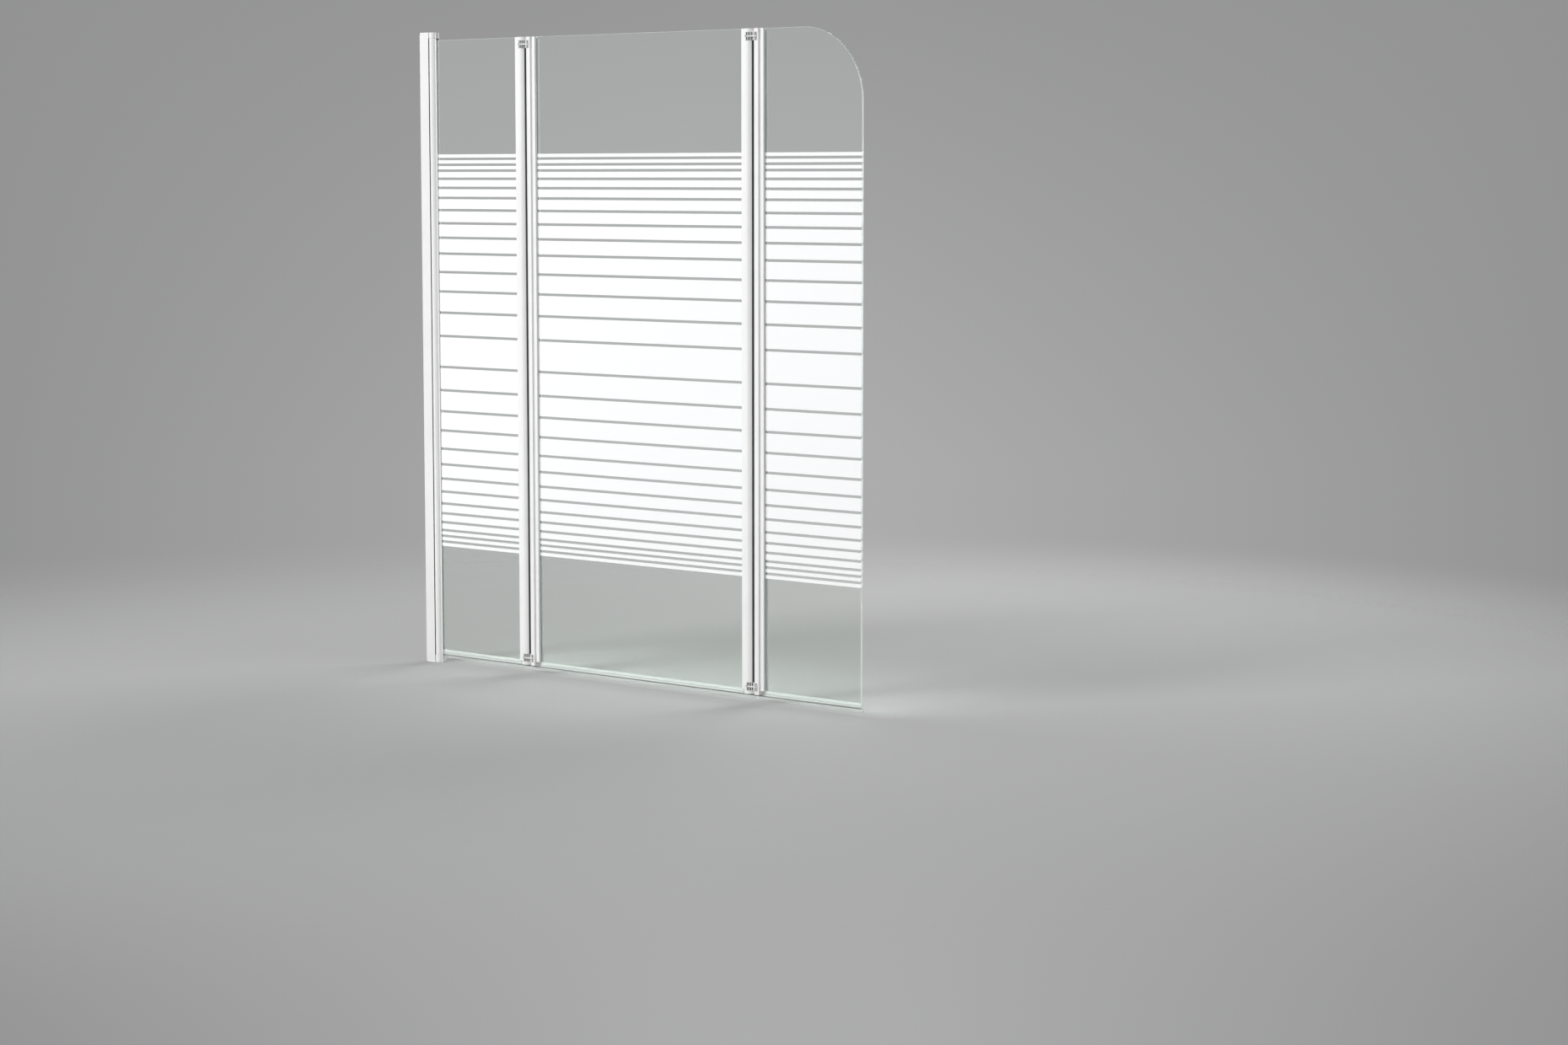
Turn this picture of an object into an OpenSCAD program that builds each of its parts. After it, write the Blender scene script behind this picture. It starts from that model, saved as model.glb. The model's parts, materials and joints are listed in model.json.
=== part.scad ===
// Folding bath screen: three glass panes joined by two geared double hinges.
// X runs away from the wall, Y runs into the bath, Z is up. The origin lies
// where the wall, the middle plane of the glass and the bath rim meet.

/* [Overall] */
// Height from the bath rim to the top of the wall profile
screen_h = 1400; // [1350:10:1600]
// Distance from the wall to the middle of the first hinge
first_hinge_x = 316; // [250:1:450]
// Distance between the middles of the two hinges
middle_w = 640; // [450:1:800]
// Distance from the middle of the second hinge to the free edge of the glass
end_w = 280; // [220:1:400]

/* [Glass] */
// Thickness of the three panes
glass_t = 5; // [4:0.5:6]
// Distance from the top of the wall profile down to the top of the glass
glass_drop = 17; // [16:1:30]
// Height of the bottom edge of the glass above the bath rim
glass_z = 24; // [24:1:40]
// Radius of the free top corner of the end pane
corner_r = 150; // [50:5:200]

/* [Printed bands] */
// Heights of the bands, from the middle one outwards, alike above and below
band_hs = [63.2, 46.2, 41.3, 37.3, 35.2, 29.4, 26.3, 23.4, 21.2, 16.4, 14.4, 12.2, 7.2, 7.2, 7.2]; // [5:80]
// Clear gap between two bands
band_gap = 5.6; // [4:0.1:8]
// Height of the middle of the pattern above the bath rim
band_mid_z = 698.3; // [680:0.1:800]
// Thickness of the printed enamel
print_t = 0.2; // [0.1:0.05:0.4]

/* [Wall profile] */
// Depth of the wall profile across the screen
wall_w = 28; // [27:0.5:34]
// How far the wall profile stands out from the wall
wall_d = 26.7; // [26.7:0.1:28]
// Thickness of the two legs of the wall profile
wall_leg_t = 1.3; // [1:0.1:1.6]
// Thickness of the back of the wall profile
wall_back_t = 2; // [1.5:0.1:2]
// Thickness of the plate that closes each end of the wall profile
cap_plate_t = 4.5; // [3:0.1:6]
// Height of the top cap in front of the adjusting profile
top_cap_h = 13; // [12:0.5:15]
// Height of the bottom cap in front of the adjusting profile
foot_cap_h = 16.8; // [14:0.2:16.8]
// Wall of the two caps
cap_wall = 2; // [1.5:0.1:2.4]
// Thickness of the tongue that plugs each cap into the wall profile
cap_tongue_t = 3.3; // [2:0.1:3.3]
// How far that tongue reaches into the wall profile
cap_tongue_l = 12; // [8:1:20]
// Thickness of the rubber strips on the ends of its two legs
wiper_t = 0.5; // [0.4:0.1:0.8]
// How far those strips reach into the wall profile
wiper_l = 2.5; // [1.5:0.1:3]
// Diameter of the four holes for the wall screws
wall_hole_d = 6; // [4.5:0.5:7]
// Spacing of the outer two wall screws
wall_hole_outer = 1200; // [900:10:1240]
// Spacing of the inner two wall screws
wall_hole_inner = 400; // [300:10:600]

/* [Adjusting profile] */
// How far the screen can be shifted each way in the wall profile
adjust_travel = 5; // [3:0.5:5]
// Running gap between the adjusting profile and the wall profile
adjust_gap = 0.3; // [0.2:0.05:0.5]
// Distance from the wall to the rear of the adjusting profile
adjust_rear_x = 11; // [11:0.1:11.4]
// Distance from the wall to the mouth of the adjusting profile
adjust_mouth_x = 42; // [42:0.1:46]
// Width of the part of the adjusting profile that shows
adjust_w = 23.8; // [22:0.1:24.4]
// Thickness of its flange that holds the glass
adjust_flange_w = 11.2; // [10.8:0.1:15]
// Wall of the adjusting profile
adjust_wall = 1.5; // [1.2:0.1:1.6]
// Length of the rounded nose of the adjusting profile
nose_l = 9.5; // [8:0.1:9.9]
// Distance from the mouth back to the pane's edge
pane_grip = 5.4; // [4:0.1:6]
// Diameter of the screws that clamp the adjusting profile
clamp_screw_d = 3.5; // [3:0.1:3.5]
// Distance from the wall to those screws
clamp_screw_x = 19.5; // [19.5:0.1:19.8]
// Width of their square nuts
clamp_nut_w = 8; // [6:0.5:9]
// Thickness of those nuts
clamp_nut_t = 3; // [2:0.1:4]
// Height of their heads
clamp_head_h = 2.2; // [1.6:0.1:3]
// Vertical distance from one of those screws to the next
clamp_screw_pitch = 450; // [300:10:550]

/* [Hinge profiles] */
// Distance from the middle of a hinge to each of its two axes
pivot_off = 13; // [13:0.1:14]
// Clear gap between the two barrels of a hinge
barrel_gap = 1.8; // [1.6:0.1:2.4]
// Wall of the barrels
barrel_wall = 1.8; // [1.6:0.1:2]
// Length of the flat front of a profile past its axis
flat_l = 5.8; // [5.6:0.1:6.6]
// Length of the slope from that flat down to the flange
slope_l = 1.6; // [1.5:0.1:3]
// Thickness of the flange that holds the glass
flange_w = 16.6; // [14.6:0.1:17]
// Wall of the two flange legs
flange_wall = 1.7; // [1.4:0.1:1.9]
// Distance from the hinge axis to the mouth of the flange
mouth_x = 16.2; // [16:0.1:20]
// Height of the lower end of the hinge profiles above the edge of the glass
profile_rise = 5.5; // [5.5:0.1:7]

/* [Gear hinges] */
// Teeth on a full circle of each gear
gear_teeth = 22; // [20:1:26]
// Height of each of the two toothed layers of an end piece
gear_h = 7; // [5:0.1:9]
// Tooth height above the pitch circle, in modules
addendum = 0.8; // [0.7:0.01:0.85]
// Tooth depth below the pitch circle, in modules
dedendum = 1.1; // [1.05:0.01:1.2]
// Play between the teeth
backlash = 0.12; // [0.08:0.01:0.2]
// Height of the plain cap of an end piece
end_cap_h = 7.2; // [6:0.1:9]
// Clear gap between the caps of two end pieces
cap_gap = 1; // [0.6:0.1:1.4]
// Thickness of the plates that join the two axes of a hinge
plate_t = 2.3; // [2:0.1:3]
// Running gap above and below a plate
plate_gap = 0.15; // [0.1:0.01:0.3]
// Distance from the axes to the inner edge of a plate
plate_back = 6.5; // [5:0.1:6.5]
// Length of the visible edge of a plate past its axes
plate_past = 1.5; // [0.5:0.1:1.6]
// Diameter of the hinge pins
pin_d = 5; // [4:0.1:6]
// Running gap around a pin in the gears
pin_gap = 0.05; // [0.02:0.01:0.09]
// How far a pin reaches past the gears at either end
pin_past = 3; // [2:0.1:5]
// Length of the spigot that seats an end piece in its barrel
spigot_l = 20; // [16:1:30]
// Diameter of the set screws that hold the end pieces
set_screw_d = 4; // [3:0.5:5]
// Width of the hexagonal socket of a set screw
set_screw_key = 2; // [1.2:0.1:2]
// Length of a set screw
set_screw_l = 7; // [5:0.5:7]

/* [Seals] */
// Half angle of the barrel that a gap seal covers
gap_seal_angle = 33; // [20:1:45]
// Depth of the groove that holds a gap seal
gap_seal_seat = 0.7; // [0.5:0.05:0.9]
// Running gap between a gap seal and the barrel that it faces
gap_seal_gap = 0.4; // [0.3:0.05:0.6]
// Wall of the drip seals
seal_t = 1; // [0.8:0.05:1.2]
// Height of the legs of a drip seal on the glass
seal_leg_h = 5.4; // [4:0.1:5.4]
// Distance from the edge of the glass down to the underside of a drip seal
seal_drop = 6.7; // [6.7:0.1:7]
// Drop of the soft lip below the underside of a drip seal
seal_lip_h = 7.3; // [5:0.1:9]
// Reach of that lip into the bath
seal_lip_l = 4.4; // [3:0.1:4.6]

/* [Hidden] */
$fn = 64;
fit = 0.1;        // gap between pieces that are seated in each other
clear = 0.3;      // gap between pieces that pass each other
over = 1;         // how far a cutting shape runs past what it cuts
pressure = 20;    // pressure angle of the gear teeth

glass_top = screen_h - glass_drop;
glass_half = glass_t / 2;
second_hinge_x = first_hinge_x + middle_w;
free_x = second_hinge_x + end_w;

wall_half = wall_w / 2;
wall_z = cap_plate_t;
wall_top = screen_h - cap_plate_t;
wall_mid = (wall_z + wall_top) / 2;
adjust_z = foot_cap_h + clear;
adjust_top = screen_h - top_cap_h - clear;
wall_inner = wall_half - wall_leg_t;
adjust_half = adjust_w / 2;
adjust_rear_half = wall_inner - adjust_gap;
adjust_chamber = adjust_half - adjust_wall;
adjust_step_x = wall_d - wiper_l - adjust_travel - clear;
adjust_flange_half = adjust_flange_w / 2;
adjust_channel_half = adjust_flange_half - adjust_wall;
flange_half = flange_w / 2;
channel_half = flange_half - flange_wall;
nose_x = adjust_mouth_x - 2.6 - nose_l;
nose_drop = adjust_half - adjust_flange_half;
nose_r = (nose_l * nose_l + nose_drop * nose_drop) / (2 * nose_drop);
adjust_web_x = adjust_mouth_x - pane_grip - 4.1;
clamp_zs = [for (k = [-1:1]) wall_mid + k * clamp_screw_pitch];
clamp_slot_r = clamp_screw_d / 2 + 0.25;
clamp_nut_y = adjust_chamber - 0.2 - clamp_nut_t;
cover_r = clamp_screw_d + 1.6;
cover_h = clamp_head_h + 1.8;
cover_dome_r = 8;
cap_back_gap = 0.5;  // keeps the caps off the wall, so that the profile rests on it
cap_round_r = 3;

barrel_r = pivot_off - barrel_gap / 2;
bore_r = barrel_r - barrel_wall;
web_x = flat_l + 0.4;
channel_x = web_x + flange_wall;
edge_x = mouth_x - pane_grip + 0.2;
profile_z = glass_z + profile_rise;
end_h = end_cap_h + 2 * gear_h + plate_t + 2 * plate_gap;
foot_drop = 8.6;  // how far the lower end pieces reach below their profiles
foot_z = profile_z - foot_drop;
barrel_z = foot_z + end_h + fit;
barrel_top = glass_top - end_h - fit;

gear_module = 2 * pivot_off / gear_teeth;
tooth_pitch = 360 / gear_teeth;
tip_r = pivot_off + addendum * gear_module;
root_r = pivot_off - dedendum * gear_module;
base_r = pivot_off * cos(pressure);
half_tooth = 90 / gear_teeth - backlash / (4 * pivot_off) * 180 / PI;
front_reach = 100;   // last tooth outside the bath, measured from the line between the axes
inner_reach = 115;   // last tooth on the side that the hinge folds to
front_block_x = 1.2; // where the teeth give way to the plain block, outside the bath
inner_block_x = 4;   // and on the side that the hinge folds to
cap_r = pivot_off - cap_gap / 2;
plate_front = barrel_r + fit;
slot_r = plate_back + clear;
slot_front_x = plate_past + 1.8;
slot_h = plate_t + 2 * plate_gap;
plate_level = end_cap_h + gear_h + slot_h / 2;
pin_r = pin_d / 2;
pin_half = slot_h / 2 + gear_h + pin_past;
tongue_half = channel_half - 0.2;
set_screw_in = 10;
spigot_x = web_x - 0.2;

seat_r = barrel_r - gap_seal_seat;
gap_seal_r = 2 * pivot_off - barrel_r - gap_seal_gap;
seal_z = glass_z - seal_drop;
seal_half = glass_half + seal_t;
seal_low_top = foot_z - clear;
seal_end = pivot_off - 0.2 - sqrt(pow(pivot_off - 0.4, 2) - pow(seal_half, 2)) + 0.4;
lip_end = 3.3;    // distance of the soft lips from the middle of a hinge

white = [0.95, 0.95, 0.94];
white_plastic = [0.92, 0.92, 0.91];
black_rubber = [0.12, 0.12, 0.13];
pale_rubber = [0.85, 0.86, 0.85];
clear_pvc = [0.85, 0.9, 0.88, 0.55];
clear_glass = [0.82, 0.9, 0.87, 0.4];
steel = [0.72, 0.72, 0.74];

// Placing: the outline of one hinge half has its axis at zero and its flange along X

module right_half(x) translate([x + pivot_off, 0, 0]) children();
module left_half(x) translate([x - pivot_off, 0, 0]) mirror([1, 0, 0]) children();

module upright(z0, z1) translate([0, 0, z0]) linear_extrude(z1 - z0) children();
module lying(x0, x1) translate([x0, 0, 0]) rotate([90, 0, 90]) linear_extrude(x1 - x0) children();
module into_bath(x, y, z, r, l) translate([x, y, z]) rotate([-90, 0, 0]) cylinder(r = r, h = l);
module band2d(x0, x1, half) translate([x0, -half]) square([x1 - x0, 2 * half]);

// Wall profile, its caps and the clamping screws

module wall_section()
    difference() {
        band2d(0, wall_d, wall_half);
        band2d(wall_back_t, wall_d + over, wall_inner);
    }

module wall_profile()
    color(white) difference() {
        upright(wall_z, wall_top) wall_section();
        for (s = [-1, 1], d = [wall_hole_inner, wall_hole_outer])
            translate([-over, 0, wall_mid + s * d / 2]) rotate([0, 90, 0])
                cylinder(d = wall_hole_d, h = wall_back_t + 2 * over);
        for (z = clamp_zs)
            into_bath(clamp_screw_x, wall_inner - over, z, clamp_screw_d / 2 + fit, wall_leg_t + 2 * over);
    }

module nose_outline()
    for (s = [0, 1]) mirror([0, s, 0]) intersection() {
        translate([nose_x, nose_r - adjust_half]) circle(r = nose_r);
        translate([nose_x, -adjust_half - over]) square([adjust_mouth_x - nose_x, adjust_half + over]);
    }

// The part of a cap in front of the wall profile, over the end of the adjusting profile
module apron_outline() {
    end_x = adjust_mouth_x - cap_round_r;
    band2d(wall_d, nose_x, adjust_half);
    nose_outline();
    band2d(nose_x, end_x, adjust_flange_half);
    band2d(nose_x, adjust_mouth_x, adjust_flange_half - cap_round_r);
    for (s = [-1, 1]) translate([end_x, s * (adjust_flange_half - cap_round_r)]) circle(r = cap_round_r);
}

// A cap of height h that hangs below zero, with a plug and a tongue in the wall profile
module cap(h)
    color(white_plastic) {
        plug_x = wall_back_t + fit;
        difference() {
            union() {
                upright(-cap_plate_t, 0) {
                    band2d(cap_back_gap, wall_d, wall_half);
                    apron_outline();
                }
                upright(-h, -cap_plate_t) {
                    band2d(plug_x, wall_d, wall_inner - fit);
                    apron_outline();
                }
            }
            upright(-h - over, -cap_plate_t) {
                band2d(plug_x + cap_wall, nose_x, adjust_half - cap_wall);
                band2d(nose_x - over, adjust_mouth_x - 2 * cap_wall, adjust_flange_half - cap_wall);
            }
        }
        upright(-h - cap_tongue_l, -cap_plate_t) band2d(plug_x, plug_x + cap_tongue_t, wall_inner - fit);
    }

// Black rubber strips over the ends of the two legs, which close the gap to the adjusting profile
module wall_wiper_strips()
    color(black_rubber) upright(adjust_z, adjust_top) for (s = [0, 1]) mirror([0, s, 0]) {
        inner_y = adjust_half + fit;
        translate([wall_d, inner_y]) square([wiper_t, wall_half - 2 * fit - inner_y]);
        translate([wall_d - wiper_l, inner_y]) square([wiper_l, wall_inner - fit / 2 - inner_y]);
    }

module wall_cap_top() translate([0, 0, screen_h]) cap(top_cap_h);
module wall_cap_bottom() mirror([0, 0, 1]) cap(foot_cap_h);

module clamp_screws()
    color(steel) for (z = clamp_zs) {
        into_bath(clamp_screw_x, clamp_nut_y - over, z, clamp_screw_d / 2, wall_half - clamp_nut_y + over);
        into_bath(clamp_screw_x, wall_half, z, clamp_screw_d, clamp_head_h);
    }

// Square nuts inside the adjusting profile, wider than its slots
module clamp_nuts()
    color(steel) difference() {
        for (z = clamp_zs)
            translate([clamp_screw_x - clamp_nut_w / 2, clamp_nut_y, z - clamp_nut_w / 2])
                cube([clamp_nut_w, clamp_nut_t, clamp_nut_w]);
        for (z = clamp_zs)
            into_bath(clamp_screw_x, clamp_nut_y - over, z, clamp_screw_d / 2, clamp_nut_t + 2 * over);
    }

// A domed cover over the head of a clamping screw
module clamp_screw_covers()
    color(white_plastic) for (z = clamp_zs)
        translate([clamp_screw_x, wall_half, z]) rotate([-90, 0, 0]) rotate_extrude()
            intersection() {
                difference() {
                    translate([0, cover_h - cover_dome_r]) circle(r = cover_dome_r);
                    square([2 * (clamp_screw_d + clear), 2 * (clamp_head_h + clear)], center = true);
                }
                square([cover_r, cover_h]);
            }

// Adjusting profile, open at the rear, which slides in the wall profile and holds the fixed pane

module adjusting_section()
    difference() {
        union() {
            band2d(adjust_rear_x, adjust_step_x, adjust_rear_half);
            band2d(adjust_rear_x, nose_x, adjust_half);
            nose_outline();
            band2d(nose_x, adjust_mouth_x, adjust_flange_half);
        }
        band2d(adjust_rear_x - over, adjust_web_x - adjust_wall, adjust_chamber);
        band2d(adjust_web_x, adjust_mouth_x + over, adjust_channel_half);
    }

module clamp_slot()
    for (s = [-1, 1]) {
        into_bath(clamp_screw_x + s * adjust_travel, adjust_chamber - over, 0, clamp_slot_r, 5);
        translate([clamp_screw_x - adjust_travel, adjust_chamber - over, -clamp_slot_r])
            cube([2 * adjust_travel, 5, 2 * clamp_slot_r]);
    }

module adjusting_profile()
    color(white) difference() {
        upright(adjust_z, adjust_top) adjusting_section();
        for (z = clamp_zs) translate([0, 0, z]) clamp_slot();
    }

module adjusting_gasket()
    color(pale_rubber) upright(adjust_z, glass_top) difference() {
        band2d(adjust_web_x + fit, adjust_mouth_x, adjust_channel_half - fit);
        band2d(adjust_mouth_x - pane_grip, adjust_mouth_x + over, glass_half);
    }

// Hinge profiles

module barrel_outline(r) {
    intersection() {
        circle(r = r);
        band2d(-r, flat_l, r);
    }
    polygon([
        [0, -r], [flat_l, -r], [flat_l + slope_l, -flange_half],
        [flat_l + slope_l, flange_half], [flat_l, r], [0, r]
    ]);
}

// The part of a ring that faces the other barrel
module facing_ring(r0, r1)
    intersection() {
        difference() {
            circle(r = r1);
            circle(r = r0);
        }
        polygon([
            [0, 0],
            [-2 * r1 * cos(gap_seal_angle), -2 * r1 * sin(gap_seal_angle)],
            [-2 * r1 * cos(gap_seal_angle), 2 * r1 * sin(gap_seal_angle)]
        ]);
    }

module profile_section(grooved)
    difference() {
        union() {
            barrel_outline(barrel_r);
            band2d(flat_l, mouth_x, flange_half);
        }
        intersection() {
            circle(r = bore_r);
            band2d(-bore_r - over, web_x, bore_r + over);
        }
        band2d(channel_x, mouth_x + over, channel_half);
        if (grooved) facing_ring(seat_r, barrel_r + over);
    }

module flange_legs()
    difference() {
        band2d(channel_x, mouth_x, flange_half);
        band2d(channel_x - over, mouth_x + over, channel_half);
    }

module hinge_profile(grooved = false)
    color(white) difference() {
        union() {
            upright(profile_z, glass_top) flange_legs();
            upright(barrel_z, barrel_top) profile_section(grooved);
        }
        for (z = [barrel_z + set_screw_in, barrel_top - set_screw_in])
            into_bath(0, bore_r - over, z, set_screw_d / 2 + fit, barrel_wall + 2 * over);
    }

// The rubber channel around the edge of a pane
module hinge_gasket()
    color(pale_rubber) {
        upright(profile_z, glass_top) difference() {
            band2d(edge_x - fit, mouth_x, channel_half - fit);
            band2d(edge_x - over, mouth_x + over, glass_half);
        }
        upright(barrel_z, barrel_top) band2d(channel_x + fit, edge_x, channel_half - fit);
    }

module gap_seal()
    color(black_rubber) upright(barrel_z + clear, barrel_top - clear)
        facing_ring(seat_r + fit / 2, gap_seal_r);

// Geared end pieces

function polar(r, a) = [r * cos(a), r * sin(a)];
function involute(a) = tan(a) * 180 / PI - a;
function flank(r) = half_tooth + involute(pressure) - involute(acos(min(1, base_r / r)));
tooth_rs = [root_r, base_r + 0.1, pivot_off, tip_r];
function tooth(a) = concat(
    [for (r = tooth_rs) polar(r, a - flank(r))],
    [for (i = [len(tooth_rs) - 1:-1:0]) polar(tooth_rs[i], a + flank(tooth_rs[i]))]
);

// A tooth faces the other gear on one half, and a gap on the other half
module toothed_outline(gap_first) {
    shift = gap_first ? 0.5 : 0;
    first = ceil(-inner_reach / tooth_pitch - shift);
    last = floor(front_reach / tooth_pitch - shift);
    polygon([for (k = [first:last]) for (p = tooth(180 + (k + shift) * tooth_pitch)) p]);
    intersection() {
        barrel_outline(barrel_r);
        union() {
            band2d(inner_block_x, mouth_x, barrel_r);
            translate([front_block_x, -barrel_r]) square([inner_block_x, barrel_r]);
        }
    }
    band2d(inner_block_x, edge_x - 2 * clear, tongue_half);
}

// Everything that a link plate sweeps as the hinge folds towards the bath
module slot_outline() {
    far = 3 * pivot_off;
    circle(r = slot_r);
    translate([-far, -far]) square([far + slot_front_x, far]);
    translate([-far, 0]) square([far + slot_r, far]);
}

// An end piece with its plain cap on top, at zero
module end_piece(gap_first)
    color(white_plastic) difference() {
        union() {
            upright(-end_cap_h, 0) barrel_outline(cap_r);
            upright(-end_h, -end_cap_h) toothed_outline(gap_first);
            upright(-end_h - spigot_l, -end_h) intersection() {
                circle(r = bore_r - fit);
                band2d(-bore_r, spigot_x, bore_r);
            }
        }
        upright(-plate_level - slot_h / 2, -plate_level + slot_h / 2) slot_outline();
        upright(-plate_level - pin_half - fit, -plate_level + pin_half + fit) circle(r = pin_r + pin_gap);
        into_bath(0, bore_r - set_screw_l, -end_h - fit - set_screw_in, set_screw_d / 2, set_screw_l);
    }

module top_end(gap_first) translate([0, 0, glass_top]) end_piece(gap_first);
module bottom_end(gap_first) translate([0, 0, foot_z]) mirror([0, 0, 1]) end_piece(gap_first);

module set_screws() {
    end_y = barrel_r - 0.2;
    color(steel) for (z = [barrel_z + set_screw_in, barrel_top - set_screw_in]) difference() {
        into_bath(0, end_y - set_screw_l, z, set_screw_d / 2 - 0.02, set_screw_l);
        translate([0, end_y - set_screw_key, z]) rotate([-90, 0, 0])
            cylinder(d = set_screw_key / cos(30), h = set_screw_key + over, $fn = 6);
    }
}

// Link plates and pins

module plate_outline()
    difference() {
        union() {
            for (s = [-1, 1]) translate([s * pivot_off, 0]) circle(r = plate_back);
            translate([-pivot_off, 0]) square([2 * pivot_off, plate_back]);
            translate([-pivot_off - plate_past, -plate_front])
                square([2 * (pivot_off + plate_past), plate_front]);
        }
        for (s = [-1, 1]) translate([s * pivot_off, 0]) circle(r = pin_r);
    }

module link_plate(x, z)
    color(white_plastic) translate([x, 0, 0]) upright(z - plate_t / 2, z + plate_t / 2) plate_outline();

plate_zs = [foot_z + plate_level, glass_top - plate_level];

module link_pins(x)
    color(steel) for (s = [-1, 1], z = plate_zs)
        translate([x + s * pivot_off, 0, z - pin_half]) cylinder(r = pin_r, h = 2 * pin_half);

// Panes and their printed bands

module pane_slab(x0, x1)
    translate([x0, -glass_half, glass_z]) cube([x1 - x0, glass_t, glass_top - glass_z]);

module fixed_pane()
    color(clear_glass)
        pane_slab(adjust_mouth_x - pane_grip, first_hinge_x - pivot_off - edge_x);

module middle_pane()
    color(clear_glass)
        pane_slab(first_hinge_x + pivot_off + edge_x, second_hinge_x - pivot_off - edge_x);

module end_pane()
    color(clear_glass) rotate([90, 0, 0]) linear_extrude(glass_t, center = true) {
        x0 = second_hinge_x + pivot_off + edge_x;
        translate([x0, glass_z]) square([free_x - x0, glass_top - corner_r - glass_z]);
        translate([x0, glass_z]) square([free_x - corner_r - x0, glass_top - glass_z]);
        intersection() {
            translate([free_x - corner_r, glass_top - corner_r]) circle(r = corner_r, $fn = 128);
            translate([free_x - corner_r, glass_top - corner_r]) square(corner_r);
        }
    }

// Height of the middle of band k, counted from the middle of the pattern
function band_off(k) =
    k == 0 ? 0 : band_off(k - 1) + (band_hs[k - 1] + band_hs[k]) / 2 + band_gap;

module bands(x0, x1)
    color("white") for (k = [0:len(band_hs) - 1], s = k == 0 ? [1] : [-1, 1])
        translate([x0, -glass_half - print_t, band_mid_z + s * band_off(k) - band_hs[k] / 2])
            cube([x1 - x0, print_t, band_hs[k]]);

// Clear drip seals under the panes

module seal_wall_pair(z0, z1)
    for (s = [-1, 1]) translate([s * (glass_half + seal_t / 2) - seal_t / 2, z0]) square([seal_t, z1 - z0]);

module seal_floor(z) translate([-seal_half, z]) square([2 * seal_half, seal_t]);

module seal_lip()
    polygon([
        [seal_half - seal_t, seal_z], [seal_half, seal_z + seal_t],
        [seal_half + seal_lip_l, seal_z - seal_lip_h + seal_t / 2],
        [seal_half + seal_lip_l - seal_t, seal_z - seal_lip_h]
    ]);

module drip_seal(low, legs, lip)
    color(clear_pvc) {
        lying(low[0], low[1]) {
            seal_wall_pair(seal_z, seal_low_top);
            seal_floor(seal_z);
        }
        lying(legs[0], legs[1]) {
            seal_wall_pair(seal_z, glass_z + seal_leg_h);
            seal_floor(glass_z - seal_t);
        }
        lying(lip[0], lip[1]) seal_lip();
    }

module fixed_drip_seal()
    drip_seal(
        [adjust_mouth_x + clear, first_hinge_x - seal_end],
        [adjust_mouth_x + clear, first_hinge_x - pivot_off - mouth_x - clear],
        [adjust_mouth_x + adjust_travel + 2, first_hinge_x - lip_end]
    );

module middle_drip_seal()
    drip_seal(
        [first_hinge_x + seal_end, second_hinge_x - seal_end],
        [first_hinge_x + pivot_off + mouth_x + clear, second_hinge_x - pivot_off - mouth_x - clear],
        [first_hinge_x + lip_end, second_hinge_x - lip_end]
    );

module end_drip_seal()
    drip_seal(
        [second_hinge_x + seal_end, free_x - clear],
        [second_hinge_x + pivot_off + mouth_x + clear, free_x - clear],
        [second_hinge_x + lip_end, free_x - clear]
    );

wall_profile();
wall_cap_top();
wall_cap_bottom();
wall_wiper_strips();
clamp_screws();
clamp_nuts();
clamp_screw_covers();

adjusting_profile();
adjusting_gasket();
fixed_pane();
bands(adjust_mouth_x + clear, first_hinge_x - pivot_off - mouth_x - clear);  // fixed_pane_print
left_half(first_hinge_x) hinge_profile(grooved = true);  // fixed_hinge_profile
left_half(first_hinge_x) hinge_gasket();  // fixed_hinge_gasket
left_half(first_hinge_x) top_end(true);  // fixed_gear_top
left_half(first_hinge_x) bottom_end(true);  // fixed_gear_bottom
fixed_drip_seal();
left_half(first_hinge_x) set_screws();  // fixed_set_screws
left_half(first_hinge_x) gap_seal();  // first_gap_seal

link_plate(first_hinge_x, plate_zs[1]);  // first_link_plate_top
link_plate(first_hinge_x, plate_zs[0]);  // first_link_plate_bottom
link_pins(first_hinge_x);  // first_link_pins

right_half(first_hinge_x) hinge_profile();  // middle_left_profile
right_half(first_hinge_x) hinge_gasket();  // middle_left_gasket
right_half(first_hinge_x) top_end(false);  // middle_left_gear_top
right_half(first_hinge_x) bottom_end(false);  // middle_left_gear_bottom
middle_pane();
bands(first_hinge_x + pivot_off + mouth_x + clear, second_hinge_x - pivot_off - mouth_x - clear);  // middle_pane_print
left_half(second_hinge_x) hinge_profile(grooved = true);  // middle_right_profile
left_half(second_hinge_x) hinge_gasket();  // middle_right_gasket
left_half(second_hinge_x) top_end(true);  // middle_right_gear_top
left_half(second_hinge_x) bottom_end(true);  // middle_right_gear_bottom
middle_drip_seal();
union() {  // middle_set_screws
    right_half(first_hinge_x) set_screws();
    left_half(second_hinge_x) set_screws();
}
left_half(second_hinge_x) gap_seal();  // second_gap_seal

link_plate(second_hinge_x, plate_zs[1]);  // second_link_plate_top
link_plate(second_hinge_x, plate_zs[0]);  // second_link_plate_bottom
link_pins(second_hinge_x);  // second_link_pins

right_half(second_hinge_x) hinge_profile();  // end_profile
right_half(second_hinge_x) hinge_gasket();  // end_gasket
right_half(second_hinge_x) top_end(false);  // end_gear_top
right_half(second_hinge_x) bottom_end(false);  // end_gear_bottom
end_pane();
bands(second_hinge_x + pivot_off + mouth_x + clear, free_x - 0.6);  // end_pane_print
end_drip_seal();
right_half(second_hinge_x) set_screws();  // end_set_screws
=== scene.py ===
# Looks of the folding bath screen: glass, printed bands, coated profiles, seals and studio light

import json
import math

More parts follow.
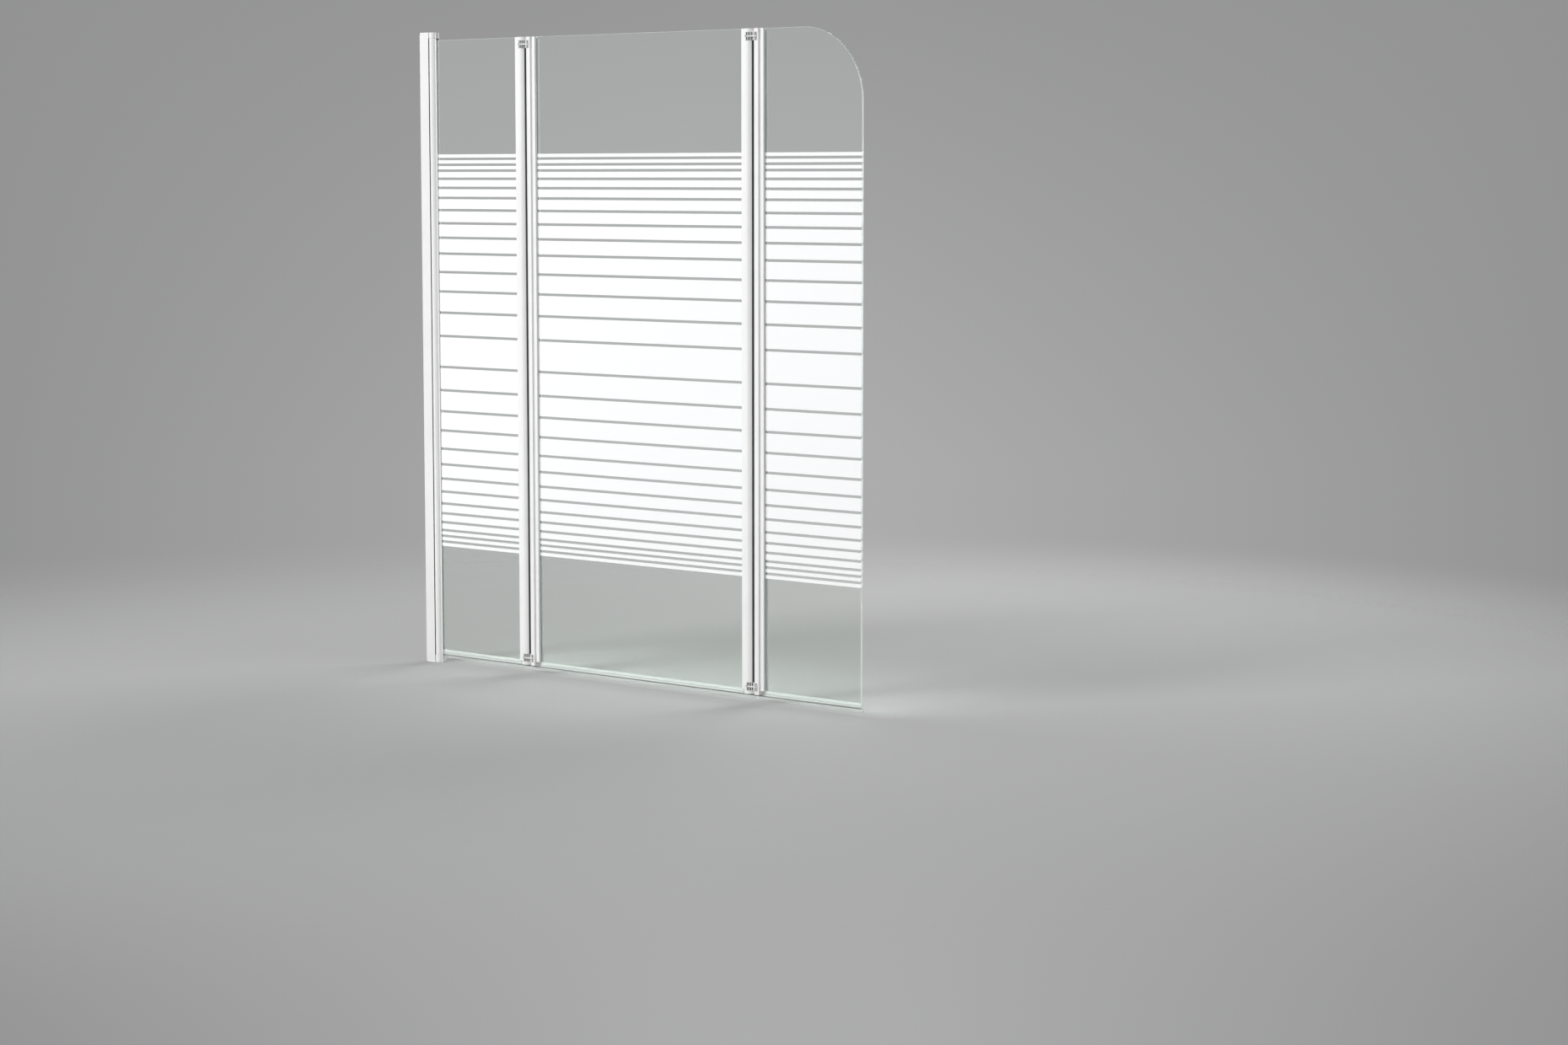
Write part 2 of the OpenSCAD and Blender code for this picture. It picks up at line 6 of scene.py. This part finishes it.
import bmesh
import bpy
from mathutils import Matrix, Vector

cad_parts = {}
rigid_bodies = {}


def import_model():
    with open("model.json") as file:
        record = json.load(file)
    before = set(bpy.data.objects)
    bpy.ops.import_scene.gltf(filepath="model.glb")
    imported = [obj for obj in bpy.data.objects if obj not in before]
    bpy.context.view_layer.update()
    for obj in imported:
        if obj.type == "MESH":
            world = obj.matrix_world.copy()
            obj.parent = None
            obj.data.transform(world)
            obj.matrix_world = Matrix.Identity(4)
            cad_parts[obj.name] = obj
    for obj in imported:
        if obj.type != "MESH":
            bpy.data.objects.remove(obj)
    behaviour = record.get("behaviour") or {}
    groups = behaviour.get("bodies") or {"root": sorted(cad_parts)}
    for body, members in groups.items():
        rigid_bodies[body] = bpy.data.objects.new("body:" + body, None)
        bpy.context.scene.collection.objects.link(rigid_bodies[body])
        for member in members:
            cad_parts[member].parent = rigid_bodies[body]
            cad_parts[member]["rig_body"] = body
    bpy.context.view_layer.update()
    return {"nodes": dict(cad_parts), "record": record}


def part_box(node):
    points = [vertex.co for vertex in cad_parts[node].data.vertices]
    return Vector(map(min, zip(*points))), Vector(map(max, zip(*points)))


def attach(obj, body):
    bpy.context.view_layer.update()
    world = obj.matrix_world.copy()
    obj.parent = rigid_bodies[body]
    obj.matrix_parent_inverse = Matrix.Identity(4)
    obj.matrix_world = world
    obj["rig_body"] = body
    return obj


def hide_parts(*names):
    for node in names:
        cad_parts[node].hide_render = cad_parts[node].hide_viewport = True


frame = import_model()
nodes = frame["nodes"]
bodyOf = {node: obj["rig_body"] for node, obj in nodes.items()}
boxOf = {node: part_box(node) for node in nodes}
slotOf = {row["node"]: row["material_slot"] for row in frame["record"]["subparts"]}
mm = 0.001  # places and sizes are in metres, angles in degrees
print("frame loaded:", len(nodes), "nodes")


# Camera, at the photograph's viewing angle

camera = {"place": (5.2826, -5.1265, 1.0833), "yaw": 39.66, "pitch": 6.013, "reach": 200,
          "lens": 75.29, "sensor": 36}  # these two in millimetres


def makeCamera():
    data = bpy.data.cameras.new("camera")
    data.sensor_width = camera["sensor"]
    data.lens = camera["lens"]
    data.clip_end = camera["reach"]
    eye = bpy.data.objects.new("camera", data)
    eye.location = camera["place"]
    eye.rotation_euler = (math.radians(90 - camera["pitch"]), 0, math.radians(camera["yaw"]))
    bpy.context.collection.objects.link(eye)
    bpy.context.scene.camera = eye


makeCamera()
print("camera placed")


# Shader nodes as Python expressions

class Wire:  # the output of a node; +, *, abs() and larger() add Math nodes
    def __init__(self, board, socket):
        self.board = board
        self.socket = socket

    def maths(self, operation, *values):
        return self.board.node("ShaderNodeMath", {"operation": operation}, dict(enumerate(values)))

    def __add__(self, other):
        return self.maths("ADD", self, other)

    def __mul__(self, other):
        return self.maths("MULTIPLY", self, other)

    def __abs__(self):
        return self.maths("ABSOLUTE", self)

    def larger(self, other):
        return self.maths("MAXIMUM", self, other)

    __radd__ = __add__
    __rmul__ = __mul__


class Board:  # the node tree of a finish or of the world
    def __init__(self, tree):
        self.tree = tree
        tree.nodes.clear()

    def node(self, kind, settings=None, sockets=None, output=0):
        made = self.tree.nodes.new(kind)
        for name, value in (settings or {}).items():
            setattr(made, name, value)
        for name, value in (sockets or {}).items():
            if isinstance(value, Wire):
                self.tree.links.new(value.socket, made.inputs[name])
            else:
                made.inputs[name].default_value = value
        return Wire(self, made.outputs[output]) if made.outputs else None

    def grain(self, size, stretch=(1, 1, 1), detail=2):  # noise with features of about that size
        place = self.node("ShaderNodeTexCoord", output="Object")
        along = self.node("ShaderNodeMapping", {}, {"Vector": place, "Scale": stretch})
        return self.node("ShaderNodeTexNoise", {}, {"Vector": along, "Scale": 1 / size, "Detail": detail})

    def ramp(self, value, low, high, curve="LINEAR"):  # 0 below low, 1 above high
        ends = {"Value": value, "From Min": low, "From Max": high}
        return self.node("ShaderNodeMapRange", {"interpolation_type": curve}, ends)

    def tint(self, factor, first, second):  # from the first colour to the second
        ends = [colour if isinstance(colour, Wire) else (*colour, 1) for colour in (first, second)]
        sockets = {0: factor, 6: ends[0], 7: ends[1]}  # 6, 7 and output 2 are those for colours
        return self.node("ShaderNodeMix", {"data_type": "RGBA"}, sockets, output=2)

    def vectors(self, operation, first, second):  # one number from two vectors
        ends = {0: first, 1: second}
        return self.node("ShaderNodeVectorMath", {"operation": operation}, ends, output="Value")

    def bump(self, height, depth):
        return self.node("ShaderNodeBump", {}, {"Height": height, "Distance": depth})

    def paint(self, sockets):
        return self.node("ShaderNodeBsdfPrincipled", {}, sockets)

    def blendShaders(self, factor, first, second):
        return self.node("ShaderNodeMixShader", {}, {0: factor, 1: first, 2: second})

    def surface(self, shader):
        self.node("ShaderNodeOutputMaterial", {}, {"Surface": shader})


def newFinish(name):
    material = bpy.data.materials.new(name)
    material.use_nodes = True
    return material, Board(material.node_tree)


# Finishes

# blend: where the noise turns one colour into the other; spread: what the noise adds to rough
coat = {
    "pale": (0.86, 0.86, 0.855), "dusty": (0.83, 0.83, 0.825),
    "wallPaleInPaintedShade": (0.795, 0.795, 0.79), "wallDustyInPaintedShade": (0.765, 0.765, 0.76),  # painted shade: a greyer copy of the same coat, as less light falls on the wall profile
    "cloud": 60 * mm, "blend": (0.35, 0.7), "rough": 0.2, "spread": 0.1,
    "peel": 1.3 * mm, "peelDepth": 0.012 * mm,
    "dieLine": 0.9 * mm, "dieStretch": (1, 1, 0.004), "dieShare": 0.6,  # faint lines from the extrusion die
    "lacquer": 0.3, "lacquerRough": 0.12,
}


def powderCoat(name, pale, dusty):
    material, board = newFinish(name)
    cloud = board.grain(coat["cloud"])
    peel = board.grain(coat["peel"], detail=3)
    drawn = board.grain(coat["dieLine"], stretch=coat["dieStretch"])
    board.surface(board.paint({
        "Base Color": board.tint(board.ramp(cloud, *coat["blend"]), pale, dusty),
        "Roughness": coat["rough"] + cloud * coat["spread"],
        "Coat Weight": coat["lacquer"],
        "Coat Roughness": coat["lacquerRough"],
        "Normal": board.bump(peel + drawn * coat["dieShare"], coat["peelDepth"])}))
    return material


moulded = {
    "pale": (0.85, 0.85, 0.845), "worn": (0.80, 0.80, 0.79), "cloud": 9 * mm, "blend": (0.4, 0.75),
    "rough": 0.3, "spread": 0.12, "grain": 0.5 * mm, "grainDepth": 0.01 * mm,
}


def mouldedPlastic():
    material, board = newFinish("white_moulded_plastic")
    cloud = board.grain(moulded["cloud"])
    fine = board.grain(moulded["grain"], detail=3)
    board.surface(board.paint({
        "Base Color": board.tint(board.ramp(cloud, *moulded["blend"]), moulded["pale"], moulded["worn"]),
        "Roughness": moulded["rough"] + fine * moulded["spread"],
        "Normal": board.bump(fine, moulded["grainDepth"])}))
    return material


# painted shade deep in the tooth gaps and the slot: near-black, mottled by noise
gearGapShade = {
    "dark": (0.012, 0.012, 0.013), "thin": (0.05, 0.05, 0.052), "mottle": 1.5 * mm, "blend": (0.45, 0.8),
    "rough": 0.35, "spread": 0.2, "mottleDepth": 0.03 * mm,
}


def paintedShadeInToothGapsAndSlot():  # painted shade: the floor and flanks between the teeth, and the slot, are coloured near-black for the shade deep in them
    material, board = newFinish("painted_shade_in_tooth_gaps_and_slot")
    mottle = board.grain(gearGapShade["mottle"], detail=3)
    board.surface(board.paint({
        "Base Color": board.tint(board.ramp(mottle, *gearGapShade["blend"]), gearGapShade["dark"], gearGapShade["thin"]),
        "Roughness": gearGapShade["rough"] + mottle * gearGapShade["spread"],
        "Normal": board.bump(mottle, gearGapShade["mottleDepth"])}))
    return material


def letShadowsThrough(board, shader, shade):  # glass and vinyl cast a pale shadow in place of a black one
    shadowRay = board.node("ShaderNodeLightPath", output="Is Shadow Ray")
    through = board.node("ShaderNodeBsdfTransparent", {}, {"Color": (*shade, 1)})
    return board.blendShaders(shadowRay, shader, through)


glass = {
    "clear": (0.945, 0.985, 0.955), "rough": 0.0, "ior": 1.52, "shade": (0.86, 0.9, 0.88),
    "edge": (0.93, 0.97, 0.95), "edgeRough": 0.12, "edgeGlow": 0.6,
    "wave": 220 * mm, "waveDepth": 0.05 * mm,  # the slight roller wave of toughened glass
}


def clearGlass(name, colour, rough, glow=0.0):
    material, board = newFinish(name)
    wave = board.grain(glass["wave"], detail=0)
    shader = board.paint({
        "Base Color": (*colour, 1),
        "Roughness": rough,
        "IOR": glass["ior"],
        "Transmission Weight": 1.0,
        "Normal": board.bump(wave, glass["waveDepth"])})
    if glow:  # light that the pane carries to its polished edge
        carried = board.node("ShaderNodeBsdfTranslucent", {}, {"Color": (*colour, 1)})
        shader = board.blendShaders(glow, shader, carried)
    board.surface(letShadowsThrough(board, shader, glass["shade"]))
    return material


enamel = {
    "white": (0.93, 0.935, 0.94), "thin": (0.89, 0.895, 0.90), "speck": 0.6 * mm, "blend": (0.55, 0.8),
    "rough": 0.28, "spread": 0.1, "speckDepth": 0.01 * mm,
}


def printedEnamel():
    material, board = newFinish("white_enamel")
    speck = board.grain(enamel["speck"], detail=4)
    board.surface(board.paint({
        "Base Color": board.tint(board.ramp(speck, *enamel["blend"]), enamel["white"], enamel["thin"]),
        "Roughness": enamel["rough"] + speck * enamel["spread"],
        "Normal": board.bump(speck, enamel["speckDepth"])}))
    return material


rubber = {
    "black": (0.022, 0.022, 0.024), "blackBloom": (0.05, 0.05, 0.055),
    "pale": (0.76, 0.765, 0.76), "paleBloom": (0.68, 0.685, 0.68),
    "bloom": 12 * mm, "bloomStretch": (1, 1, 0.1), "blend": (0.4, 0.75), "rough": 0.5, "spread": 0.15,
    "grain": 0.8 * mm, "grainDepth": 0.03 * mm,
}


def sealingRubber(name, colour, bloomColour):
    material, board = newFinish(name)
    bloom = board.grain(rubber["bloom"], stretch=rubber["bloomStretch"])
    fine = board.grain(rubber["grain"], detail=4)
    board.surface(board.paint({
        "Base Color": board.tint(board.ramp(bloom, *rubber["blend"]), colour, bloomColour),
        "Roughness": rubber["rough"] + fine * rubber["spread"],
        "Normal": board.bump(fine, rubber["grainDepth"])}))
    return material


vinyl = {
    "clear": (0.97, 0.985, 0.975), "milk": 0.22,
    "cut": (0.16, 0.18, 0.17), "cutMilk": 0.2,
    "foot": (0.02, 0.022, 0.021), "footMilk": 0.6,
    "rough": 0.1, "ior": 1.4, "shade": (0.7, 0.74, 0.72),
    "ripple": 14 * mm, "rippleStretch": (0.3, 1, 1), "rippleDepth": 0.06 * mm,
}


def softVinyl(name, colour, milk):
    material, board = newFinish(name)
    ripple = board.grain(vinyl["ripple"], stretch=vinyl["rippleStretch"], detail=1)
    shader = board.paint({
        "Base Color": (*colour, 1),
        "Roughness": vinyl["rough"],
        "IOR": vinyl["ior"],
        "Transmission Weight": 1 - milk,
        "Normal": board.bump(ripple, vinyl["rippleDepth"])})
    board.surface(letShadowsThrough(board, shader, vinyl["shade"]))
    return material


steel = {
    "bright": (0.60, 0.60, 0.61), "dull": (0.50, 0.50, 0.52), "rough": 0.25, "spread": 0.15,
    "scratch": 0.3 * mm, "scratchStretch": (1, 0.05, 1), "scratchDepth": 0.005 * mm,
}


def stainless():
    material, board = newFinish("stainless_steel")
    scratch = board.grain(steel["scratch"], stretch=steel["scratchStretch"], detail=4)
    board.surface(board.paint({
        "Base Color": board.tint(scratch, steel["bright"], steel["dull"]),
        "Metallic": 1.0,
        "Roughness": steel["rough"] + scratch * steel["spread"],
        "Normal": board.bump(scratch, steel["scratchDepth"])}))
    return material


finishes = {
    "white_powder_coat": powderCoat("white_powder_coat", coat["pale"], coat["dusty"]),
    "wall_coat_in_painted_shade": powderCoat("white_powder_coat_in_painted_shade_on_the_wall_profile", coat["wallPaleInPaintedShade"], coat["wallDustyInPaintedShade"]),
    "white_plastic": mouldedPlastic(),
    "clear_glass": clearGlass("clear_glass", glass["clear"], glass["rough"]),
    "glass_edge": clearGlass("polished_glass_edge", glass["edge"], glass["edgeRough"], glass["edgeGlow"]),
    "white_enamel": printedEnamel(),
    "black_rubber": sealingRubber("black_rubber", rubber["black"], rubber["blackBloom"]),
    "pale_rubber": sealingRubber("pale_rubber", rubber["pale"], rubber["paleBloom"]),
    "clear_pvc": softVinyl("clear_vinyl", vinyl["clear"], vinyl["milk"]),
    "cut_pvc": softVinyl("clear_vinyl_seen_on_edge", vinyl["cut"], vinyl["cutMilk"]),
    "foot_pvc": softVinyl("dark_foot_of_clear_vinyl", vinyl["foot"], vinyl["footMilk"]),
    "tooth_gap": paintedShadeInToothGapsAndSlot(),
    "stainless_steel": stainless(),
}
print("finishes made:", len(finishes))


# Pieces

mending = {"weld": 0.002 * mm, "flat": 0.4}  # corners this close become one, and so do faces this flat
edging = {"sharpFrom": 35, "steps": 2}       # the turn that makes an edge, and the faces across its radius


def cleanCopy(node):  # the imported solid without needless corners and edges
    shape = bmesh.new()
    shape.from_mesh(nodes[node].data)
    bmesh.ops.remove_doubles(shape, verts=shape.verts, dist=mending["weld"])
    flat = math.radians(mending["flat"])
    bmesh.ops.dissolve_limit(shape, angle_limit=flat, verts=shape.verts, edges=shape.edges)
    return shape


def meshFrom(shape, name, materials, sharpFrom=edging["sharpFrom"]):
    mesh = bpy.data.meshes.new(name)
    shape.to_mesh(mesh)
    shape.free()
    for material in materials:
        mesh.materials.append(material)
    mesh.shade_smooth()
    mesh.set_sharp_from_angle(angle=math.radians(sharpFrom))
    return mesh


def addPiece(name, mesh, node):  # stands for the CAD node, on the same body
    piece = bpy.data.objects.new(name, mesh)
    bpy.context.collection.objects.link(piece)
    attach(piece, bodyOf[node])
    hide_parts(node)
    return piece


# Hinge ends: the gaps between the teeth and the slot of the link plate get painted shade, a near-black colour
# for the shade deep in them

gear = {
    "cap": 7.2 * mm,            # closed end beyond the teeth
    "toothed": 16.6 * mm,       # height of the two layers of teeth with the slot between them
    "slot": 2.7 * mm,           # a little more than the slot is high
    "pitchRadius": 13 * mm,     # half of the distance between two axes
    "blockStart": 1.1 * mm,     # from the axis to the solid block behind the teeth
    "uprightBelow": 0.5,        # a face whose normal rises less than this stands upright
}
gearAxis = {"fixed": "first_hinge_wall_axis", "middle_left": "first_hinge_pane_axis",
            "middle_right": "second_hinge_wall_axis", "end": "second_hinge_pane_axis"}
joints = frame["record"]["behaviour"]["joints"]
pivotX = {joint["name"]: joint["pos_m"][0] for joint in joints if "pos_m" in joint}


# faces that take the painted shade of the tooth gaps and the slot
def inToothGapOrSlot(node, face):
    half, end = node.split("_gear_")
    low, high = boxOf[node]
    toPlate = gear["cap"] + gear["toothed"] / 2
    plateZ = high.z - toPlate if end == "top" else low.z + toPlate
    centre = face.calc_center_median()
    away = -1 if half in ("fixed", "middle_right") else 1  # from the gear that it meshes with
    across = away * (centre.x - pivotX[gearAxis[half]])
    toothed = abs(centre.z - plateZ) < gear["toothed"] / 2 and abs(face.normal.z) < gear["uprightBelow"]
    gap = toothed and across < gear["blockStart"] and math.hypot(across, centre.y) < gear["pitchRadius"]
    return gap or all(abs(vertex.co.z - plateZ) < gear["slot"] / 2 for vertex in face.verts)


# Clear seals under the glass: dark where they are seen on edge, and near-black on the front and back at the
# foot

seal = {
    "lipDrop": 7.3 * mm,        # from the underside of the foot to the end of the soft lip
    "footHeight": 1.1 * mm,     # a little more than the wall under the glass is thick
    "frontAbove": 0.9,          # a face whose normal points more than this along y is a front or a back
    "levelAbove": 0.7,          # and one that points more than this up or down is an edge
}


def footSpan(node):  # heights between which the foot of a seal lies
    underside = boxOf[node][0].z + seal["lipDrop"]
    return underside, underside + seal["footHeight"]


def sealFinish(node, face):
    low, high = footSpan(node)
    if abs(face.normal.y) > seal["frontAbove"] and low < face.calc_center_median().z < high:
        return 2
    return int(abs(face.normal.z) > seal["levelAbove"])


# Extruded and moulded pieces: each gets its real edge radius, in place of the knife edges of a plain solid

otherFinishes = {"_gear_": ["tooth_gap"], "_drip_seal": ["cut_pvc", "foot_pvc"]}
edgeRadius = {  # by a word in the name of the node, the first that fits
    "wall_profile": 0.5 * mm, "_profile": 0.35 * mm, "wall_cap": 0.7 * mm, "_gear_": 0.15 * mm,
    "_plate_": 0.2 * mm, "_cover": 0.2 * mm, "_gasket": 0.2 * mm, "_strips": 0.1 * mm,
    "_gap_seal": 0.35 * mm, "_drip_seal": 0.2 * mm, "_screws": 0.2 * mm,
}


def finishOfFace(node, face):  # 0 is the node's own finish, 1 and 2 are those in otherFinishes
    if "_gear_" in node:
        return int(inToothGapOrSlot(node, face))
    if "_drip_seal" in node:
        return sealFinish(node, face)
    return 0


def makeRounded(node, radius):
    shape = cleanCopy(node)
    if "_drip_seal" in node:
        everything = shape.verts[:] + shape.edges[:] + shape.faces[:]
        bmesh.ops.bisect_plane(shape, geom=everything, dist=mending["weld"],
                               plane_co=(0, 0, footSpan(node)[1]), plane_no=(0, 0, 1))
    shape.normal_update()
    for face in shape.faces:
        face.material_index = finishOfFace(node, face)
    # the wall profile takes the copy of the coat that is greyed with painted shade
    materials = [finishes["wall_coat_in_painted_shade" if node == "wall_profile" else slotOf[node]]]
    for word, others in otherFinishes.items():
        if word in node:
            materials += [finishes[other] for other in others]
    mesh = meshFrom(shape, node + "_finished", materials)
    piece = addPiece(node + "_finished", mesh, node)
    bevel = piece.modifiers.new("edges", "BEVEL")
    bevel.width = radius
    bevel.segments = edging["steps"]
    bevel.limit_method = "ANGLE"
    bevel.angle_limit = math.radians(edging["sharpFrom"])
    even = piece.modifiers.new("even shading", "WEIGHTED_NORMAL")
    even.keep_sharp = True


def makeRoundedPieces():
    made = 0
    for node in nodes:
        radius = next((radius for word, radius in edgeRadius.items() if word in node), None)
        if radius:
            makeRounded(node, radius)
            made += 1
    return made


print("pieces with rounded edges:", makeRoundedPieces())


# Panes, with ground edges and one round corner, and the bands that are printed on them

pane = {"skin": 0.02 * mm, "arris": 0.7 * mm, "sharpFrom": 20, "cornerRadius": 150 * mm, "cornerSteps": 48}


def paneRing(shape, low, high, y, inset, cornerRadius):
    left, right = low.x + inset, high.x - inset
    foot, top = low.z + inset, high.z - inset
    points = [(left, top), (left, foot), (right, foot)]
    if cornerRadius:
        radius = cornerRadius - inset
        for step in range(pane["cornerSteps"] + 1):
            turn = math.pi / 2 * step / pane["cornerSteps"]
            points.append((right - radius + radius * math.cos(turn), top - radius + radius * math.sin(turn)))
    else:
        points.append((right, top))
    return [shape.verts.new((x, y, z)) for x, z in points]


def makePane(node, cornerRadius):  # a skin inside its solid, so that none of its faces lies on a neighbour's
    low, high = boxOf[node]
    low, high = low + Vector([pane["skin"]] * 3), high - Vector([pane["skin"]] * 3)
    shape = bmesh.new()
    arris = pane["arris"]
    rings = [paneRing(shape, low, high, y, inset, cornerRadius) for y, inset in (
        (low.y, arris), (low.y + arris, 0), (high.y - arris, 0), (high.y, arris))]
    shape.faces.new(rings[0])
    shape.faces.new(reversed(rings[-1]))
    for ring, following in zip(rings, rings[1:]):
        for i in range(len(ring)):
            j = (i + 1) % len(ring)
            edge = shape.faces.new((ring[j], ring[i], following[i], following[j]))
            edge.material_index = 1
    bmesh.ops.recalc_face_normals(shape, faces=shape.faces)
    materials = [finishes["clear_glass"], finishes["glass_edge"]]
    addPiece(node + "_glass", meshFrom(shape, node + "_glass", materials, pane["sharpFrom"]), node)


def makePrint(node, glassFront):  # the enamel is fused into the face of the glass
    shape = cleanCopy(node)
    back = max(vertex.co.y for vertex in shape.verts)
    for vertex in shape.verts:
        if vertex.co.y > back - pane["skin"]:
            vertex.co.y = glassFront + 2 * pane["skin"]
    addPiece(node + "_enamel", meshFrom(shape, node + "_enamel", [finishes["white_enamel"]]), node)


for paneNode in ("fixed_pane", "middle_pane", "end_pane"):
    makePane(paneNode, pane["cornerRadius"] if paneNode == "end_pane" else 0)
    makePrint(paneNode + "_print", boxOf[paneNode][0].y)
print("panes and bands made")


for node, obj in nodes.items():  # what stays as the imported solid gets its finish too
    obj.data.materials.clear()
    obj.data.materials.append(finishes[slotOf[node]])


# Studio

studio = {
    "middle": (0.6, 0, 0.7),         # of the screen, where the lamps point
    "backdrop": ((0.415, 0.415, 0.418), (0.32, 0.32, 0.324)),  # low and high behind the screen
    "backdropRise": (-0.087, 0.05),  # how steeply a ray climbs at those two colours
    "aside": (0.29, 0.29, 0.293),    # towards the sides of the picture
    "asideTurn": (0.03, 0.25),       # sine of the turn where that colour starts and where it is full
    "ambient": (0.26, 0.262, 0.265),
    "floor": (0.46, 0.46, 0.46),
    "floorSize": 12.0,
    "floorFade": (1.2, 3.2),         # how far from the middle the floor starts and ends melting away
}
lamps = {
    "panel": {"place": (-3.6, -5.0, 1.4), "size": (4.5, 4.4), "power": 97},  # mirrored in the glass
    "key": {"place": (-2.3, -10.2, 5.6), "size": (4.2, 3.8), "power": 850},
    "fill": {"place": (5.0, -2.4, 2.6), "size": (2.6, 2.6), "power": 24},
    "back": {"place": (0.6, 4.4, 2.6), "size": (3.4, 2.4), "power": 160},
    "top": {"place": (0.6, -0.4, 4.4), "size": (3.0, 3.0), "power": 16},
}


def makeFloor():
    mesh = bpy.data.meshes.new("floor")
    half = studio["floorSize"] / 2
    corners = [(-half, -half, 0), (half, -half, 0), (half, half, 0), (-half, half, 0)]
    mesh.from_pydata(corners, [], [(0, 1, 2, 3)])
    floor = bpy.data.objects.new("floor", mesh)
    bpy.context.collection.objects.link(floor)
    material, board = newFinish("floor")
    place = board.node("ShaderNodeTexCoord", output="Object")
    foot = (*studio["middle"][:2], 0)
    distance = board.vectors("DISTANCE", place, foot)
    fade = board.ramp(distance, *studio["floorFade"], curve="SMOOTHSTEP")
    matt = board.node("ShaderNodeBsdfDiffuse", {}, {"Color": (*studio["floor"], 1)})
    nothing = board.node("ShaderNodeBsdfTransparent")
    board.surface(board.blendShaders(fade, matt, nothing))
    mesh.materials.append(material)


def makeWorld():  # the camera, gloss and glass see the backdrop, and the ambient colour lights the screen
    world = bpy.data.worlds.new("studio")
    bpy.context.scene.world = world
    world.use_nodes = True
    board = Board(world.node_tree)
    straight, inGloss, throughGlass = [board.node("ShaderNodeLightPath", output=ray) for ray in (
        "Is Camera Ray", "Is Glossy Ray", "Is Transmission Ray")]
    seen = straight.larger(inGloss).larger(throughGlass)
    place = board.node("ShaderNodeTexCoord", output="Generated")
    rise = board.node("ShaderNodeSeparateXYZ", {}, {"Vector": place}, output="Z")
    middle = board.tint(board.ramp(rise, *studio["backdropRise"]), *studio["backdrop"])
    yaw = math.radians(camera["yaw"])
    turn = board.vectors("DOT_PRODUCT", place, (math.cos(yaw), math.sin(yaw), 0))
    backdrop = board.tint(board.ramp(abs(turn), *studio["asideTurn"]), middle, studio["aside"])
    colour = board.tint(seen, studio["ambient"], backdrop)
    background = board.node("ShaderNodeBackground", {}, {"Color": colour})
    board.node("ShaderNodeOutputWorld", {}, {"Surface": background})


def makeLamp(name, place, size, power):
    data = bpy.data.lights.new(name, "AREA")
    data.shape = "RECTANGLE"
    data.size, data.size_y = size
    data.energy = power
    lamp = bpy.data.objects.new(name, data)
    lamp.location = place
    lamp.rotation_euler = (Vector(studio["middle"]) - Vector(place)).to_track_quat("-Z", "Y").to_euler()
    lamp.visible_camera = False
    lamp.visible_transmission = False
    bpy.context.collection.objects.link(lamp)


makeFloor()
makeWorld()
for name, lamp in lamps.items():
    makeLamp(name, **lamp)
bpy.context.scene.view_settings.view_transform = "Standard"
print("studio lit")
